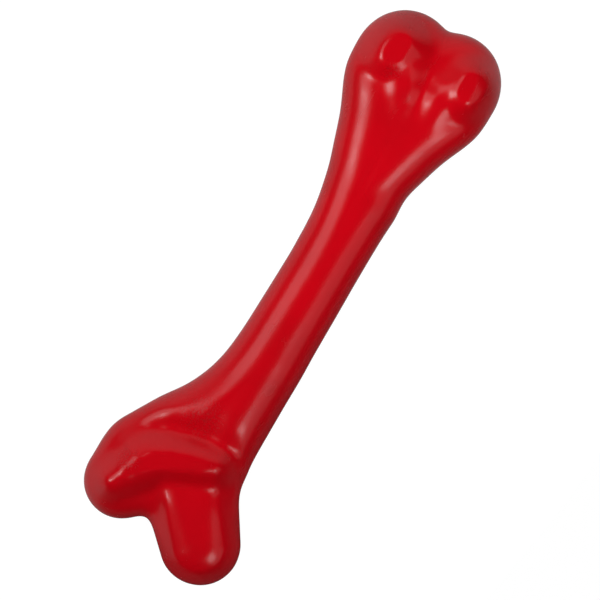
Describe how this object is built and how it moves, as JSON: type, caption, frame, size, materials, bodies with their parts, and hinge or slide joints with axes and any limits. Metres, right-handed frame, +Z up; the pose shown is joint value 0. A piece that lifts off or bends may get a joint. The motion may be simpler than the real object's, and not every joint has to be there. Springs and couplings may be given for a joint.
{
  "type": "rubber chew bone",
  "caption": "Solid moulded rubber chew bone for a dog, with a round shaft, a heart-shaped knobbed end and a forked end with a raised crest.",
  "frame": {"origin": "middle of the bone's bounding box, on the plane it rests on", "axes": "+X along the bone from the forked end to the heart-shaped end, +Y across it towards the lobe that carries the rib, +Z up, square to the parting plane of the mould"},
  "size_m": [0.17, 0.0494, 0.027],
  "materials": {
    "red_rubber": "satin gloss, as it leaves a polished mould"
  },
  "bodies": {
    "root": {"rubber_bone": "red_rubber"}
  },
  "joints": []
}
